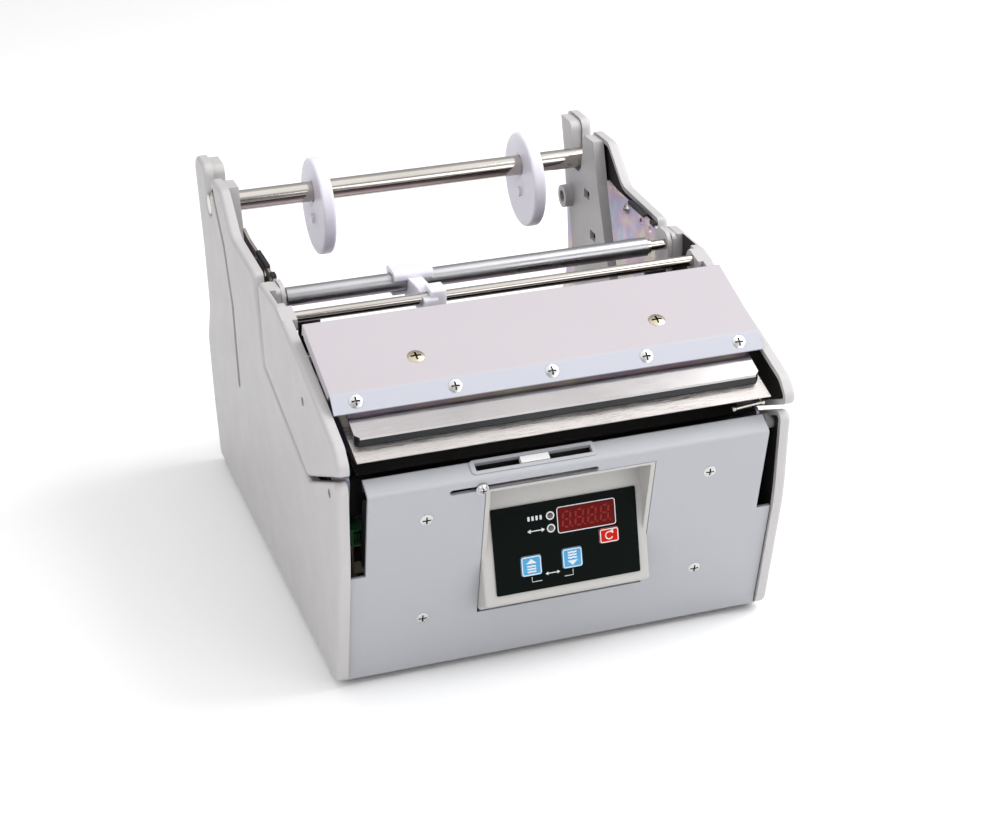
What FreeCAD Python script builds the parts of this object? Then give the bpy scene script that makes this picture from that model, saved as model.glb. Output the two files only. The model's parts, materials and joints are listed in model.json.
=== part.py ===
# Tabletop automatic label dispenser, 255 mm wide, built as its separate pieces.
# Millimetres. X is to the operator's right, Y to the back, Z up.
# Origin: the centre of the footprint, on the surface that the feet stand on.
import FreeCAD
import Part
import math
import os

V = FreeCAD.Vector

# ---- overall sizes -------------------------------------------------------------------
WIDTH = 255.0                     # over both side shells
HALF = WIDTH / 2
FOOT_HEIGHT = 4.0
SHELL_DEPTH = 6.5                 # depth of a side shell across X
SHELL_INNER = HALF - SHELL_DEPTH
SKIN = 3.0                        # wall of the moulded shells
HORN_IN = 118.0                   # inner end of the bosses that reach in from a shell
FRAME_IN = 115.5                  # inner face of a steel side frame
FRAME_T = 1.8
FRAME_OUT = FRAME_IN + FRAME_T
SHEET = 1.5                       # steel sheet of trays, brackets and the cover

# ---- shafts (y, z) and radii ---------------------------------------------------------
ROLL_AXIS = (134.5, 187.75)
ROLL_R = 6.35
PIVOT_AXIS = (-13.5, 181.0)       # guide axle, and the hinge of the head
AXLE_R = 3.0
GUIDE_TUBE_R = 5.5
GUIDE_TUBE_X = (-114.2, 103.0)
HEAD_SHAFT_AXIS = (-47.5, 182.75)
HEAD_SHAFT_R = 3.2
RUN_GAP = 0.05                    # radial clearance of a running fit
CLEAR = 0.35                      # clearance between parts that pass each other

# ---- core discs on the roll shaft ----------------------------------------------------
DISC_R = 30.5
DISC_T = 8.0
DISC_DROP = 10.0                  # the hole is this far above the disc's centre
DISC_X = (-58.0, 79.0)

# ---- drive ---------------------------------------------------------------------------
DRIVE_AXIS = (-106.0, 110.0)
DRIVE_R = 12.0
PINCH_AXIS = (-84.95, 117.66)
PINCH_R = 10.0
MOTOR_AXIS = (-82.0, 60.0)
BELT_X = -109.0                   # middle of the belt and of its two pulleys
BELT_W = 5.0
BELT_T = 3.0
DRIVE_PULLEY_R = 14.5
MOTOR_PULLEY_R = 7.0

# ---- front panel: leans forward as it rises ------------------------------------------
PANEL_Y0 = -138.39                # y of the front plane at z = 0
PANEL_LEAN = 0.2536               # how far it comes forward per millimetre of height
PANEL_T = 2.5
FOLD_Z = 130.4
TOP_BACK = (-160.3, 136.5)        # back edge of the panel's top face
PANEL_HALF_LOW = 120.5
PANEL_HALF_HIGH = 112.2
PANEL_STEP_Z = 77.0
PANEL_ANGLE = 90 + math.degrees(math.atan(PANEL_LEAN))

# ---- control box: a wedge set through the front panel --------------------------------
BOX_X = (-48.0, 47.0)
BOX_Z = (37.5, 122.5)
BOX_BACK = -143.3
BOX_WALL = 2.4
BOX_RISE = 10.5                   # its underside rises this much from the panel to the face
FACE_LEAN = math.tan(math.radians(11.0))
FACE_CROSS = (-157.82, 76.6)      # where its face passes through the panel's plane
FACE_CENTRE_Z = 77.25
OVERLAY_SIZE = (82.7, 48.7)
OVERLAY_T = 0.8

# ---- head: cover, press plate and peel plate -----------------------------------------
COVER_FOLD = (-135.1, 173.5)
COVER_REAR = (-79.5, 192.5)
LIP_LOW = (-142.1, 165.4)
COVER_HALF = 120.6
PEEL_FRONT = (-165.0, 147.7)
PEEL_SLOPE = 0.30
PEEL_HALF = 115.4
PRESS_FRONT = (-154.8, 156.8)
PRESS_SLOPE = 0.364
PRESS_HALF = 110.8
HEAD_PLATE_IN = 113.2             # inner face of the head's steel side plates
HEAD_PLATE_T = 1.5


# ---- helpers -------------------------------------------------------------------------
def corner_arc(before, corner, after, radius):
    """Tangent points and middle point of the arc that rounds a corner."""
    to_before = (before - corner).normalize()
    to_after = (after - corner).normalize()
    half = to_before.getAngle(to_after) / 2
    reach = radius / math.tan(half)
    bisector = (to_before + to_after).normalize()
    middle = corner + bisector * (radius / math.sin(half) - radius)
    return corner + to_before * reach, middle, corner + to_after * reach


def outline(corners):
    """Closed face through (y, z) or (y, z, radius) corners, in the plane x = 0."""
    points = [V(0, c[0], c[1]) for c in corners]
    radii = [c[2] if len(c) > 2 else 0 for c in corners]
    spans = []
    for i, corner in enumerate(points):
        if radii[i] > 0:
            spans.append(corner_arc(points[i - 1], corner, points[(i + 1) % len(points)], radii[i]))
        else:
            spans.append((corner, None, corner))
    edges = []
    for i, (start, middle, end) in enumerate(spans):
        if middle is not None:
            edges.append(Part.Arc(start, middle, end).toShape())
        following = spans[(i + 1) % len(spans)][0]
        if (following - end).Length > 1e-6:
            edges.append(Part.LineSegment(end, following).toShape())
    return Part.Face(Part.Wire(edges))


def slab(corners, x_low, x_high):
    """An outline in (y, z), extruded from x_low to x_high."""
    face = outline(corners)
    face.translate(V(x_low, 0, 0))
    return face.extrude(V(x_high - x_low, 0, 0))


def inset_slab(corners, inset, x_low, x_high):
    """The same outline drawn in by inset, extruded."""
    face = outline(corners).makeOffset2D(-inset)
    face.translate(V(x_low, 0, 0))
    return face.extrude(V(x_high - x_low, 0, 0))


def block(x_low, x_high, y_low, y_high, z_low, z_high):
    return Part.makeBox(x_high - x_low, y_high - y_low, z_high - z_low, V(x_low, y_low, z_low))


def rod(x_low, x_high, axis, radius):
    """A cylinder along X about the axis (y, z)."""
    return Part.makeCylinder(radius, x_high - x_low, V(x_low, axis[0], axis[1]), V(1, 0, 0))


def rod_y(x, z, y_low, y_high, radius):
    """A cylinder along Y."""
    return Part.makeCylinder(radius, y_high - y_low, V(x, y_low, z), V(0, 1, 0))


def tube(x_low, x_high, axis, radius, bore):
    return rod(x_low, x_high, axis, radius).cut(rod(x_low - 1, x_high + 1, axis, bore))


def mirrored(shape):
    return shape.mirror(V(0, 0, 0), V(1, 0, 0))


def fuse_all(shapes):
    return shapes[0].multiFuse(shapes[1:]).removeSplitter() if len(shapes) > 1 else shapes[0]


def tilted(shape, angle, x, y, z):
    """A shape built about Z, turned about X by angle and moved to (x, y, z)."""
    shape = shape.copy()
    shape.rotate(V(0, 0, 0), V(1, 0, 0), angle)
    shape.translate(V(x, y, z))
    return shape


def rounded_plate(width, height, thickness, radius, x=0.0, y=0.0, z=0.0):
    """A plate in the XY plane with rounded corners, centred on (x, y), from z up."""
    plate = Part.makeBox(width, height, thickness, V(x - width / 2, y - height / 2, z))
    upright = [e for e in plate.Edges if abs(e.tangentAt(e.FirstParameter).z) > 0.99]
    return plate.makeFillet(radius, upright)


def fillet_where(shape, radius, test):
    """Fillet each edge whose middle point passes the test."""
    chosen = [e for e in shape.Edges if test(e.valueAt((e.FirstParameter + e.LastParameter) / 2), e)]
    return shape.makeFillet(radius, chosen)


def cross_recess(head_r, depth, top_z):
    """The cross-shaped recess of a screw's head."""
    arm = head_r * 0.62
    wide = head_r * 0.24
    one = block(-arm, arm, -wide / 2, wide / 2, top_z - depth, top_z + 1)
    other = block(-wide / 2, wide / 2, -arm, arm, top_z - depth, top_z + 1)
    return one.fuse(other)


def pan_screw(head_r, head_h, shank_r, length, washer_r=0.0):
    """A domed pan-head screw: the head's underside is at z = 0, the shank goes down."""
    dome_r = (head_r ** 2 + head_h ** 2) / (2 * head_h)
    ball = Part.makeSphere(dome_r, V(0, 0, head_h - dome_r))
    head = Part.makeCylinder(head_r, head_h).common(ball)
    shank = Part.makeCylinder(shank_r, length + 0.2, V(0, 0, -length))
    screw = head.fuse(shank).cut(cross_recess(head_r, head_h * 0.75, head_h))
    if washer_r > 0:
        screw = screw.fuse(Part.makeCylinder(washer_r, 0.8, V(0, 0, -0.8)))
    return screw.removeSplitter()


def flat_screw(head_r, shank_r, length):
    """A raised countersunk screw: the rim of its head is at z = 0."""
    cone_h = head_r - shank_r
    cone = Part.makeCone(shank_r, head_r, cone_h, V(0, 0, -cone_h))
    rise = head_r * 0.16
    dome_r = (head_r ** 2 + rise ** 2) / (2 * rise)
    dome = Part.makeSphere(dome_r, V(0, 0, rise - dome_r)).common(Part.makeCylinder(head_r, rise + 1))
    shank = Part.makeCylinder(shank_r, length, V(0, 0, -length))
    return cone.fuse(dome).fuse(shank).cut(cross_recess(head_r, rise + 0.9, rise)).removeSplitter()


def countersink(head_r, shank_r, depth):
    """The hole that a flat_screw sits in, with a little room."""
    cone_h = head_r - shank_r
    cone = Part.makeCone(shank_r, head_r + 0.18, cone_h + 0.18, V(0, 0, -cone_h - 0.18))
    return cone.fuse(Part.makeCylinder(shank_r + 0.05, depth + 1, V(0, 0, -depth)))


# ---- places on the sloped faces ------------------------------------------------------
def panel_y(z):
    return PANEL_Y0 - PANEL_LEAN * z


def face_y(z):
    return FACE_CROSS[0] + FACE_LEAN * (z - FACE_CROSS[1])


def cover_z(y):
    slope = (COVER_REAR[1] - COVER_FOLD[1]) / (COVER_REAR[0] - COVER_FOLD[0])
    return COVER_FOLD[1] + slope * (y - COVER_FOLD[0])


def peel_z(y):
    return PEEL_FRONT[1] + PEEL_SLOPE * (y - PEEL_FRONT[0])


def press_z(y):
    return PRESS_FRONT[1] + PRESS_SLOPE * (y - PRESS_FRONT[0])


COVER_ANGLE = math.degrees(math.atan2(COVER_REAR[1] - COVER_FOLD[1], COVER_REAR[0] - COVER_FOLD[0]))
LIP_ANGLE = math.degrees(math.atan2(COVER_FOLD[1] - LIP_LOW[1], COVER_FOLD[0] - LIP_LOW[0]))
FACE_ANGLE = 90 - 11.0


def on_panel(shape, x, z, out=0.0):
    """Put a shape built about Z on the front plane, facing out of it."""
    normal = V(0, -math.sin(math.radians(PANEL_ANGLE)), math.cos(math.radians(PANEL_ANGLE)))
    return tilted(shape, PANEL_ANGLE, x, panel_y(z) + normal.y * out, z + normal.z * out)


def on_face(shape):
    """Put a shape drawn in the overlay's own plane onto the control box's face."""
    return tilted(shape, FACE_ANGLE, 0, face_y(FACE_CENTRE_Z), FACE_CENTRE_Z)


# ---- side shells and their insides ---------------------------------------------------
SLOT_R = ROLL_R + CLEAR
MAIN_OUTLINE = [
    (-142.0, FOOT_HEIGHT, 8), (161.5, FOOT_HEIGHT, 6), (169.5, 44, 90), (173.2, 85, 22),
    (159.5, 112, 18), (161.5, 146, 90), (168.5, 184, 60), (174.0, 210, 10),
    (141.6, 210, 7), (ROLL_AXIS[0] + SLOT_R, ROLL_AXIS[1] - SLOT_R, SLOT_R - 0.01),
    (ROLL_AXIS[0] - SLOT_R, ROLL_AXIS[1] - SLOT_R, SLOT_R - 0.01),
    (122.0, 209, 5), (95.0, 209.5, 11), (69.5, 189, 15), (12.0, 187.3, 3),
    (-1.0, 135.5, 3), (-101.5, 109.2, 5), (-167.0, 139.8, 5), (-162.0, 84, 150)]
CHEEK_OUTLINE = [
    (-170.6, 144.2, 3.5), (-100.6, 111.7, 5), (-4.6, 136.8, 3), (0.3, 188.0, 5),
    (-43.5, 188.3, 20), (-88.5, 178.3, 90), (-128.0, 168.0, 60), (-163.5, 157.5, 9),
    (-171.3, 149.5, 6)]
GROOVE = [(119.0, 203.0), (93.0, 174.5), (79.0, 141.0), (76.5, 92.0)]
GROOVE_W = 6.5
GROOVE_DEPTH = 1.8
CHEEK_SCREW = (-99.9, 156.3)
SHELL_SCREW = (-150.5, 125.8)
NOTCH_Y = (-38.5, -18.5)          # gap in the cheek's top flange, in front of the pivot


def groove_cutter():
    """The long shallow groove down the outer face of the right shell."""
    pieces = []
    for start, end in zip(GROOVE[:-1], GROOVE[1:]):
        run = V(0, end[0] - start[0], end[1] - start[1])
        side = V(0, -run.z, run.y).normalize() * (GROOVE_W / 2)
        a, b = V(0, start[0], start[1]), V(0, end[0], end[1])
        wire = Part.makePolygon([a + side, b + side, b - side, a - side, a + side])
        face = Part.Face(wire)
        face.translate(V(HALF - GROOVE_DEPTH, 0, 0))
        pieces.append(face.extrude(V(GROOVE_DEPTH + 1, 0, 0)))
    for point in GROOVE[1:]:
        pieces.append(rod(HALF - GROOVE_DEPTH, HALF + 1, point, GROOVE_W / 2))
    return fuse_all(pieces)


def moulded_shell(corners):
    """A right-hand moulded side: outer skin with a flange all round, open inwards."""
    solid = slab(corners, SHELL_INNER, HALF)
    solid = fillet_where(solid, 2.6, lambda p, e: p.x > HALF - 0.01)
    return solid.cut(inset_slab(corners, SKIN, SHELL_INNER - 1, HALF - SKIN))


def make_side_shell():
    shell = moulded_shell(MAIN_OUTLINE)
    shell = shell.cut(groove_cutter())
    shell = shell.fuse(rod(HORN_IN, HALF - 1, SHELL_SCREW, 4.2))
    shell = shell.cut(rod(HORN_IN - 1, HALF - SKIN, SHELL_SCREW, 1.25))
    return shell.cut(rod(HALF - SKIN, HALF + 1, SHELL_SCREW, 2.6)).removeSplitter()


def make_cheek():
    cheek = moulded_shell(CHEEK_OUTLINE)
    cheek = cheek.cut(block(SHELL_INNER - 1, HALF - SKIN, NOTCH_Y[0], NOTCH_Y[1], 176, 200))
    horn = slab([(-18.5, 170, 3), (-2.6, 163, 2), (-0.6, 187.6, 4), (-18.5, 187.9, 3)],
                HORN_IN, HALF - 1)
    bump = slab([(-57, 178.5, 3), (-39.5, 173.5, 5), (-38.5, 190.5, 8), (-57, 187.5, 3)],
                HORN_IN, HALF - 1)
    boss = rod(HALF - 7, HALF - 1, CHEEK_SCREW, 5)
    cheek = cheek.fuse([horn, bump, boss]).common(slab(CHEEK_OUTLINE, HORN_IN, HALF))
    cheek = cheek.cut(rod(HORN_IN - 1, HALF - 3, PIVOT_AXIS, AXLE_R + RUN_GAP))
    cheek = cheek.cut(rod(HORN_IN - 1, HALF - 3, HEAD_SHAFT_AXIS, HEAD_SHAFT_R))
    cheek = cheek.cut(rod(HALF - 8, HALF - 3, CHEEK_SCREW, 1.25))
    return cheek.cut(rod(HALF - 3, HALF + 1, CHEEK_SCREW, 2.6)).removeSplitter()


POST_FOOT = 133.0
POST_X = (115.2, 117.7)
FRAME_OUTLINE = [
    (-116.0, 6.5, 3), (156.5, 6.5, 3), (164.5, 44, 90), (167.0, 84, 20), (154.6, 111, 16),
    (156.4, 146, 60), (161.0, 176, 3), (88.0, 189.5, 2), (69.2, 187.0, 14), (1.0, 186.2, 2),
    (1.0, POST_FOOT), (-148.5, 131.8, 4)]
FRAME_SCREW = (48.4, 181.8)


def make_side_frame():
    """Zinc-plated side plate: carries the rollers, and the pivot post on its top edge."""
    plate = slab(FRAME_OUTLINE, FRAME_IN, FRAME_OUT)
    plate = plate.cut([slab(FRAME_GAP, FRAME_IN - 1, FRAME_OUT + 1),
                       rod(FRAME_IN - 1, FRAME_OUT + 1, GUARD_BOSS, 7.8)])
    plate = plate.fuse(block(FRAME_IN - 4, FRAME_IN, 36, 48, 160.2, 162))
    holes = [(FRAME_SCREW, 1.65), ((25.2, 181.6), 2.2), ((10.6, 181.4), 2.2), ((52, 110), 6),
             ((20, 70), 6), (DRIVE_AXIS, 7.9), (PINCH_AXIS, 5.4)]
    for place, radius in holes:
        plate = plate.cut(rod(FRAME_IN - 1, FRAME_OUT + 1, place, radius))
    return plate.removeSplitter()


def make_pivot_post():
    """Moulded post that carries one end of the guide axle, just inside the cheek's horn."""
    low, high = POST_X
    post = slab([(-18.6, POST_FOOT), (1.0, POST_FOOT), (1.0, 188.6, 6.5), (-18.6, 188.6, 6.5)], low, high)
    rib = slab([(-15.5, POST_FOOT, 1), (-2.0, POST_FOOT, 1), (-6, 168, 2), (-11.5, 168, 2)], low - 1.5, low)
    foot = block(low - 1.5, FRAME_IN, -14.5, -3.0, 119.0, POST_FOOT + 4)
    return fuse_all([post, rib, foot]).cut(rod(low - 2, high + 1, PIVOT_AXIS, AXLE_R))


GUARD_X = (114.0, 120.8)
GUARD_WALL = 2.6
CRADLE_STRIP = [(104.0, 211), (95.8, 181.2), (83.8, 150), (50, 62), (129, 62), (143.6, 127),
                (154.5, 173.7), (163.3, 211)]
FRAME_GAP = [(88.0, 211), (81.0, 181), (69.5, 148), (38, 61.5), (129.5, 61.5), (144.1, 127), (155, 173.7),
             (163.8, 211)]
GUARD_WINDOWS = [(115.3, 168.9), (104.6, 144.2)]
GUARD_BOSS = (147.0, 158.0)


def make_column_guard():
    """Moulded roll cradle inside the upright, with its own wider slot for the shaft."""
    low, high = GUARD_X
    plate = inset_slab(MAIN_OUTLINE, 1.6, low, high).common(slab(CRADLE_STRIP, low - 1, high + 1))
    hollow = inset_slab(MAIN_OUTLINE, 1.6 + GUARD_WALL, low + GUARD_WALL, high + 1)
    plate = plate.cut(hollow.common(inset_slab(CRADLE_STRIP, GUARD_WALL, low, high + 1)))
    for y, z in GUARD_WINDOWS:
        plate = plate.cut(block(low - 1, high + 1, y - 4.8, y + 4.8, z - 3.0, z + 3.0))
    boss = rod(low - 5.5, low + 0.1, GUARD_BOSS, 7.4)
    plate = plate.fuse(boss)
    return plate.cut(rod(low - 8, high + 1, GUARD_BOSS, 4.0)).removeSplitter()


def make_edge_trims(frame):
    """Black rubber: edging on the top edge of each side frame, and a sheet inside each shell."""
    low, high = FRAME_IN - 0.4, FRAME_OUT + 0.3
    long_run = slab([(20, 185.6), (46, 185.8), (46, 188.3, 0.8), (20, 188.1, 0.8)], low, high)
    short_run = slab([(4, 185.4), (10.5, 185.4), (10.5, 188.0, 0.8), (4, 188.0, 0.8)], low, high)
    lining = inset_slab(MAIN_OUTLINE, SKIN + 0.4, HALF - SKIN - 1.8, HALF - SKIN - 0.1)
    lining = lining.cut(rod(HALF - 8, HALF, SHELL_SCREW, 4.6))
    return with_mirror([long_run.cut(frame), short_run.cut(frame), lining])


# ---- base, deck and back -------------------------------------------------------------
DECK_Z = 58.0
BULKHEAD_Y = -38.0
BACK_Y = 156.0


def make_base_tray():
    floor = block(-FRAME_IN, FRAME_IN, -134, 152, FOOT_HEIGHT, FOOT_HEIGHT + SHEET)
    wall = block(FRAME_IN - SHEET, FRAME_IN, -112, 152, FOOT_HEIGHT, 24)
    tray = fuse_all([floor, wall, mirrored(wall)])
    for row in range(2):
        for i in range(9):
            x = -64 + 16 * i
            y = 40 + 34 * row
            tray = tray.cut(block(x - 2, x + 2, y, y + 24, 0, 10))
    for x, y in FOOT_PLACES:
        tray = tray.cut(Part.makeCylinder(2.2, 10, V(x, y, 0)))
    return tray


FOOT_PLACES = [(-98, -118), (98, -118), (-98, 132), (98, 132)]


def make_feet():
    feet = []
    for x, y in FOOT_PLACES:
        pad = Part.makeCone(9.5, 8.0, FOOT_HEIGHT, V(x, y, 0), V(0, 0, 1))
        stem = Part.makeCylinder(2.1, 7.0, V(x, y, FOOT_HEIGHT - 0.5))
        feet.append(pad.fuse(stem))
    return Part.makeCompound(feet)


def make_inner_deck():
    """Bent sheet over the electronics: a bulkhead behind the drive, then a flat deck."""
    profile = [(BULKHEAD_Y, FOOT_HEIGHT + SHEET), (BULKHEAD_Y + SHEET, FOOT_HEIGHT + SHEET),
               (BULKHEAD_Y + SHEET, DECK_Z - SHEET), (BACK_Y - 0.2, DECK_Z - SHEET),
               (BACK_Y - 0.2, DECK_Z), (BULKHEAD_Y + SHEET, DECK_Z), (BULKHEAD_Y + SHEET, 112),
               (BULKHEAD_Y, 112)]
    return slab(profile, SHEET - FRAME_IN, FRAME_IN - SHEET)


INLET = (78.0, 30.0)              # x, z of the mains socket on the back
SWITCH = (40.0, 30.0)             # x, z of the power switch on the back


def make_rear_panel():
    panel = block(-FRAME_IN, FRAME_IN, BACK_Y, BACK_Y + SHEET, FOOT_HEIGHT + 0.5, 66)
    top = block(-FRAME_IN, FRAME_IN, BACK_Y - 9, BACK_Y + SHEET, 66 - SHEET, 66)
    panel = panel.fuse(top)
    for place, half_w, half_h in ((INLET, 14, 10), (SWITCH, 9.6, 6.6)):
        x, z = place
        panel = panel.cut(block(x - half_w, x + half_w, BACK_Y - 3, BACK_Y + 3, z - half_h, z + half_h))
    for i in range(8):
        x = -88 + 12 * i
        panel = panel.cut(block(x - 1.5, x + 1.5, BACK_Y - 1, BACK_Y + 3, 16, 48))
    for x, z in ((INLET[0] - 20, INLET[1]), (INLET[0] + 20, INLET[1]), (-110, 48), (110, 48)):
        panel = panel.cut(rod_y(x, z, BACK_Y - 4, BACK_Y + 4, 1.6))
    return panel.removeSplitter()


def make_power_inlet():
    """Mains socket with three pins behind a flanged face."""
    x, z = INLET
    flange = block(x - 24, x + 24, BACK_Y + SHEET, BACK_Y + SHEET + 2.2, z - 13, z + 13)
    flange = fillet_where(flange, 3, lambda p, e: abs(e.tangentAt(e.FirstParameter).y) > 0.9)
    body = block(x - 13.7, x + 13.7, BACK_Y - 22, BACK_Y + SHEET + 0.2, z - 9.7, z + 9.7)
    socket = flange.fuse(body)
    socket = socket.cut(block(x - 12, x + 12, BACK_Y - 15, BACK_Y + 6, z - 8, z + 8))
    for dx, dz in ((-7, -1.5), (7, -1.5), (0, 2.5)):
        socket = socket.fuse(block(x + dx - 1, x + dx + 1, BACK_Y - 17, BACK_Y - 1, z + dz - 2, z + dz + 2))
    for dx in (-20, 20):
        socket = socket.cut(Part.makeCylinder(1.7, 10, V(x + dx, BACK_Y - 2, z), V(0, 1, 0)))
    return socket.removeSplitter()


def make_switch_body():
    x, z = SWITCH
    rim = block(x - 11.5, x + 11.5, BACK_Y + SHEET, BACK_Y + SHEET + 1.6, z - 8.5, z + 8.5)
    body = block(x - 9.4, x + 9.4, BACK_Y - 16, BACK_Y + SHEET + 0.2, z - 6.4, z + 6.4)
    room = block(x - 8.2, x + 8.2, BACK_Y - 6.5, BACK_Y + 6, z - 5.2, z + 5.2)
    pivot = Part.makeCylinder(1.2 + RUN_GAP, 12, V(x, SWITCH_PIVOT_Y, z - 6))
    return rim.fuse(body).cut([room, pivot]).removeSplitter()


SWITCH_PIVOT_Y = BACK_Y + 0.5


def make_switch_rocker():
    """Rocker that turns about a vertical axis on its two pins, drawn in its off position."""
    x, z = SWITCH
    y = SWITCH_PIVOT_Y
    corners = [V(x - 6.8, y - 2.2, 0), V(x, y - 3.8, 0), V(x + 6.8, y - 1.3, 0), V(x + 6.8, y + 3.9, 0),
               V(x, y + 2.0, 0), V(x - 6.8, y + 1.5, 0)]
    face = Part.Face(Part.makePolygon(corners + corners[:1]))
    face.translate(V(0, 0, z - 4.8))
    pins = Part.makeCylinder(1.2, 11.6, V(x, y, z - 5.8))
    return face.extrude(V(0, 0, 9.6)).fuse(pins).removeSplitter()


def make_power_supply():
    """Switch-mode power supply: a perforated steel case with its terminal strip."""
    case = block(10, 104, 46, 118, FOOT_HEIGHT + SHEET + 2, 42)
    for i in range(6):
        case = case.cut(block(20 + 13 * i, 26 + 13 * i, 54, 110, 40.5, 43))
    strip = block(16, 92, 38, 46, FOOT_HEIGHT + SHEET + 6, 24)
    pads = [block(x - 4, x + 4, 50, 114, FOOT_HEIGHT + SHEET, FOOT_HEIGHT + SHEET + 2) for x in (20, 94)]
    return fuse_all([case, strip] + pads)


TIE_BARS = [(146.0, 76.0), (-58.0, 98.0), (-114.0, 36.0)]


def make_tie_bars():
    bars = []
    for axis in TIE_BARS:
        bar = rod(-FRAME_IN, FRAME_IN, axis, 4.0)
        bars.append(bar)
    return Part.makeCompound(bars)


# ---- front panel and sensor ----------------------------------------------------------
SENSOR_SLOT_X = (-52.5, 12.0)
SENSOR_SLOT_MID = (-164.8, 134.0)  # y, z on the panel's top face
SENSOR_SLOT_W = 5.0
TOP_ANGLE = math.degrees(math.atan2(TOP_BACK[1] - FOLD_Z, TOP_BACK[0] - panel_y(FOLD_Z)))
ADJUST_SLOT_X = (-68.0, 14.5)
ADJUST_Z = 124.3
PANEL_SCREWS = [(-80.0, 109.0), (80.0, 109.0), (-79.5, 40.3), (79.5, 40.3)]


def slot_plate(x_range, width, thickness):
    """A long plate with round ends along X, about the XY plane."""
    low, high = x_range
    corner = V(low + width / 2, -width / 2, -thickness / 2)
    middle = Part.makeBox(high - low - width, width, thickness, corner)
    ends = [Part.makeCylinder(width / 2, thickness, V(x, 0, -thickness / 2))
            for x in (low + width / 2, high - width / 2)]
    return middle.fuse(ends).removeSplitter()


def make_front_panel():
    t = PANEL_T
    low_z = FOOT_HEIGHT + 0.6
    fold_y = panel_y(FOLD_Z)
    outer = [(panel_y(low_z), low_z), (fold_y, FOLD_Z, 2.2), (TOP_BACK[0], TOP_BACK[1], 1.2),
             (TOP_BACK[0] + 1.2, TOP_BACK[1] - 8), (TOP_BACK[0] - 1.2, TOP_BACK[1] - 8),
             (TOP_BACK[0] - 1.6, TOP_BACK[1] - t - 1.0), (fold_y + t * 1.1, FOLD_Z - t * 0.6, 1.0),
             (panel_y(low_z) + t, low_z)]
    panel = slab(outer, -PANEL_HALF_LOW, PANEL_HALF_LOW)
    returns = []
    for side in (-1, 1):
        x = side * PANEL_HALF_HIGH
        notch = sorted((x, side * (PANEL_HALF_LOW + 1)))
        panel = panel.cut(block(notch[0], notch[1], -190, -120, PANEL_STEP_Z, 150))
        flange = sorted((x, x - side * 2.2))
        returns.append(slab([(panel_y(80) + 1, 80), (panel_y(80) + 11, 80, 3), (panel_y(126) + 11, 124, 3),
                             (panel_y(127) + 1.5, 127)], flange[0], flange[1]))
    panel = panel.fuse(returns).removeSplitter()
    opening = block(BOX_X[0] - 0.4, BOX_X[1] + 0.4, -190, -120, BOX_Z[0] - 0.4, BOX_Z[1] + 0.3)
    panel = panel.cut(opening)
    panel = panel.cut(on_panel(slot_plate(ADJUST_SLOT_X, 3.4, 12), 0, ADJUST_Z))
    y, z = SENSOR_SLOT_MID
    panel = panel.cut(tilted(slot_cutter(0.0), TOP_ANGLE, 0, y, z))
    for x, z in PANEL_SCREWS:
        panel = panel.cut(on_panel(countersink(3.7, 1.9, 6), x, z))
    return panel.fuse(sensor_rim()).removeSplitter()


def slot_cutter(grow):
    low, high = SENSOR_SLOT_X
    return Part.makeBox(high - low + 2 * grow, SENSOR_SLOT_W + 2 * grow, 10,
                        V(low - grow, -SENSOR_SLOT_W / 2 - grow, -6))


def sensor_rim():
    """Thin raised rim round the sensor slot in the panel's top face."""
    low, high = SENSOR_SLOT_X
    rim = rounded_plate(high - low + 5, SENSOR_SLOT_W + 4, 0.7, 2.2, (low + high) / 2, 0, 0.0)
    y, z = SENSOR_SLOT_MID
    return tilted(rim.cut(slot_cutter(0.0)), TOP_ANGLE, 0, y, z)


SLIDER_X = (-27.5, -11.7)
CLAMP_X = -50.5


def make_sensor_slider():
    """White sensor head that shows in the slot."""
    low, high = SLIDER_X
    head = Part.makeBox(high - low, SENSOR_SLOT_W - 0.8, 3.4, V(low, -SENSOR_SLOT_W / 2 + 0.4, -2.6))
    y, z = SENSOR_SLOT_MID
    return tilted(head, TOP_ANGLE, 0, y, z)


def make_sensor_bracket():
    """Sheet carrier behind the panel that joins the sensor head to its clamp screw."""
    carrier = Part.makeBox(SLIDER_X[1] - CLAMP_X + 6, 5.2, 1.2, V(CLAMP_X - 5, -2.0, 0))
    carrier = carrier.cut(Part.makeCylinder(1.55, 4, V(CLAMP_X, 0, -1)))
    carrier = on_panel(carrier, 0, ADJUST_Z, -PANEL_T - 1.7)
    riser = block(SLIDER_X[0], SLIDER_X[1], -165.6, -164.2, 123.0, 131.6)
    return carrier.fuse(riser.cut(make_sensor_slider()).Solids[0]).removeSplitter()


def make_clamp_screw():
    screw = pan_screw(2.8, 2.0, 1.5, 5.6, washer_r=3.4)
    return on_panel(screw, CLAMP_X, ADJUST_Z, 0.95)


# ---- control box ---------------------------------------------------------------------
WINDOW = (12.4, 12.5, 32.6, 14.0)          # x, up the face, width, height
LED_PLACES = [(-8.1, 16.0), (-8.1, 8.9)]
KEYS = {"key_reset": (24.45, -0.6, 11.1, 8.2), "key_up": (-20.95, -10.1, 11.5, 11.1),
        "key_down": (2.55, -9.6, 11.3, 11.1)}


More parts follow.
